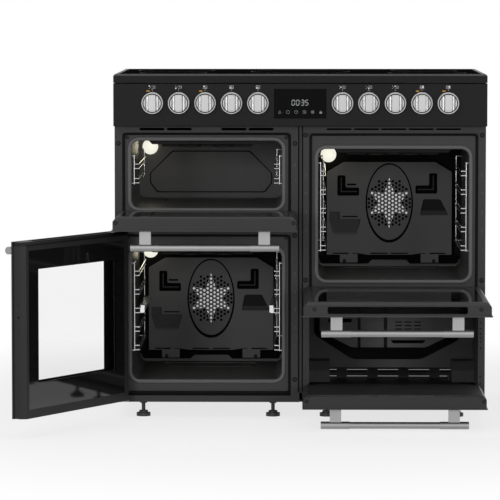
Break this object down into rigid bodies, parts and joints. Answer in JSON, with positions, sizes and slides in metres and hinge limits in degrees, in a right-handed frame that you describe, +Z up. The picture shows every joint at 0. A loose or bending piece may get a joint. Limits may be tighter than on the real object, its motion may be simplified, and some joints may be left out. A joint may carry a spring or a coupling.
{
  "type": "range cooker with double oven",
  "caption": "Freestanding range cooker: ceramic hob, knob panel with clock, drop-down grill door over a side-hinged oven, drop-down oven door over a storage compartment, all open.",
  "frame": {"origin": "on the floor, under the centre of the cabinet", "axes": "+X to the right seen from the front, +Y from the doors to the rear panel, +Z up"},
  "size_m": [1.2636, 1.0419, 0.93],
  "materials": {
    "body_paint": "satin black paint",
    "galvanised": "zinc coated sheet, dull",
    "frame_enamel": "satin charcoal paint",
    "cavity_enamel": "black vitreous enamel, semi gloss",
    "hob_trim": "satin dark grey",
    "hob_ceramic": "black glass ceramic, polished",
    "heater": "pressed insulation in a steel dish",
    "panel_paint": "satin black paint",
    "display_glass": "black glass over the clock",
    "amber_lens": "amber moulded lens",
    "switch_plastic": "heat proof moulding",
    "seal_rubber": "black silicone braid",
    "element_sheath": "oxidised steel tube",
    "lamp_glass": "ribbed heat proof glass, lit",
    "chrome_wire": "chrome plated wire",
    "runner_steel": "bright steel",
    "foot_plastic": "black moulding",
    "fan_steel": "bright sheet",
    "door_enamel": "satin charcoal paint",
    "door_glass": "black tinted glass with a printed border",
    "inner_glass": "black printed border round a clear window",
    "handle_steel": "satin brushed steel",
    "knob_metal": "satin metal, fine turned lines"
  },
  "bodies": {
    "cabinet": {"base_tray": "body_paint", "side_panel_left": "body_paint", "side_panel_right": "body_paint", "rear_panel": "galvanised", "service_cover": "body_paint", "centre_post": "body_paint", "front_frame_left": "frame_enamel", "front_frame_right": "frame_enamel", "hob_frame": "hob_trim", "hob_glass": "hob_ceramic", "hob_heaters": "heater", "control_panel": "panel_paint", "display_window": "display_glass", "indicator_lenses": "amber_lens", "switch_bodies": "switch_plastic", "grill_cavity": "cavity_enamel", "left_oven_cavity": "cavity_enamel", "right_oven_cavity": "cavity_enamel", "storage_liner": "body_paint", "door_seals": "seal_rubber", "fan_cover_left": "cavity_enamel", "fan_cover_right": "cavity_enamel", "fan_motors": "galvanised", "ring_elements": "element_sheath", "roof_elements": "element_sheath", "oven_lamps": "lamp_glass", "side_racks": "chrome_wire", "runner_channels": "runner_steel", "door_hinges": "galvanised", "side_hinge_brackets": "galvanised", "feet": "foot_plastic"},
    "grill_door": {"grill_door_frame": "door_enamel", "grill_door_outer_glass": "door_glass", "grill_door_inner_glass": "inner_glass", "grill_door_handle": "handle_steel"},
    "left_oven_door": {"left_door_frame": "door_enamel", "left_door_outer_glass": "door_glass", "left_door_inner_glass": "inner_glass", "left_door_handle": "handle_steel"},
    "right_oven_door": {"right_door_frame": "door_enamel", "right_door_outer_glass": "door_glass", "right_door_inner_glass": "inner_glass", "right_door_handle": "handle_steel"},
    "storage_door": {"storage_door_frame": "door_enamel", "storage_door_outer_glass": "door_glass", "storage_door_handle": "handle_steel"},
    "knob_1": {"knob_1": "knob_metal"},
    "knob_2": {"knob_2": "knob_metal"},
    "knob_3": {"knob_3": "knob_metal"},
    "knob_4": {"knob_4": "knob_metal"},
    "knob_5": {"knob_5": "knob_metal"},
    "knob_6": {"knob_6": "knob_metal"},
    "knob_7": {"knob_7": "knob_metal"},
    "knob_8": {"knob_8": "knob_metal"},
    "knob_9": {"knob_9": "knob_metal"},
    "knob_10": {"knob_10": "knob_metal"},
    "fan_left": {"fan_left": "fan_steel"},
    "fan_right": {"fan_right": "fan_steel"},
    "runner_left": {"runner_slide_left": "runner_steel"},
    "runner_right": {"runner_slide_right": "runner_steel"}
  },
  "joints": [
    {"name": "left_oven_door_swing", "type": "hinge", "parent": "cabinet", "child": "left_oven_door", "pos_m": [-0.485, -0.288, 0.2805], "axis": [0, 0, -1], "range_deg": [-121, 0]},
    {"name": "grill_door_drop", "type": "hinge", "parent": "cabinet", "child": "grill_door", "pos_m": [-0.24975, -0.288, 0.5371], "axis": [1, 0, 0], "range_deg": [-90, 0]},
    {"name": "right_oven_door_drop", "type": "hinge", "parent": "cabinet", "child": "right_oven_door", "pos_m": [0.24975, -0.288, 0.3331], "axis": [1, 0, 0], "range_deg": [-90, 0]},
    {"name": "storage_door_drop", "type": "hinge", "parent": "cabinet", "child": "storage_door", "pos_m": [0.24975, -0.288, 0.0686], "axis": [1, 0, 0], "range_deg": [-90, 0]},
    {"name": "knob_1_turn", "type": "hinge", "parent": "cabinet", "child": "knob_1", "pos_m": [-0.3954, -0.3, 0.8525], "axis": [0, 1, 0], "range_deg": [0, 270]},
    {"name": "knob_2_turn", "type": "hinge", "parent": "cabinet", "child": "knob_2", "pos_m": [-0.3248, -0.3, 0.8525], "axis": [0, 1, 0], "range_deg": [0, 270]},
    {"name": "knob_3_turn", "type": "hinge", "parent": "cabinet", "child": "knob_3", "pos_m": [-0.2542, -0.3, 0.8525], "axis": [0, 1, 0], "range_deg": [0, 270]},
    {"name": "knob_4_turn", "type": "hinge", "parent": "cabinet", "child": "knob_4", "pos_m": [-0.1836, -0.3, 0.8525], "axis": [0, 1, 0], "range_deg": [0, 270]},
    {"name": "knob_5_turn", "type": "hinge", "parent": "cabinet", "child": "knob_5", "pos_m": [-0.113, -0.3, 0.8525], "axis": [0, 1, 0], "range_deg": [0, 270]},
    {"name": "knob_6_turn", "type": "hinge", "parent": "cabinet", "child": "knob_6", "pos_m": [0.113, -0.3, 0.8525], "axis": [0, 1, 0], "range_deg": [0, 270]},
    {"name": "knob_7_turn", "type": "hinge", "parent": "cabinet", "child": "knob_7", "pos_m": [0.1836, -0.3, 0.8525], "axis": [0, 1, 0], "range_deg": [0, 270]},
    {"name": "knob_8_turn", "type": "hinge", "parent": "cabinet", "child": "knob_8", "pos_m": [0.2542, -0.3, 0.8525], "axis": [0, 1, 0], "range_deg": [0, 270]},
    {"name": "knob_9_turn", "type": "hinge", "parent": "cabinet", "child": "knob_9", "pos_m": [0.3248, -0.3, 0.8525], "axis": [0, 1, 0], "range_deg": [0, 270]},
    {"name": "knob_10_turn", "type": "hinge", "parent": "cabinet", "child": "knob_10", "pos_m": [0.3954, -0.3, 0.8525], "axis": [0, 1, 0], "range_deg": [0, 270]},
    {"name": "fan_left_spin", "type": "hinge", "parent": "cabinet", "child": "fan_left", "pos_m": [-0.2515, 0.19, 0.2845], "axis": [0, 1, 0], "continuous": true},
    {"name": "fan_right_spin", "type": "hinge", "parent": "cabinet", "child": "fan_right", "pos_m": [0.2515, 0.19, 0.5552], "axis": [0, 1, 0], "continuous": true},
    {"name": "runner_left_slide", "type": "slide", "parent": "cabinet", "child": "runner_left", "axis": [0, -1, 0], "range_m": [0, 0.3]},
    {"name": "runner_right_slide", "type": "slide", "parent": "cabinet", "child": "runner_right", "axis": [0, -1, 0], "range_m": [0, 0.3]}
  ],
  "couplings": [
    {"joint": "grill_door_drop", "follows": "left_oven_door_swing", "ratio": 0.7438}
  ]
}
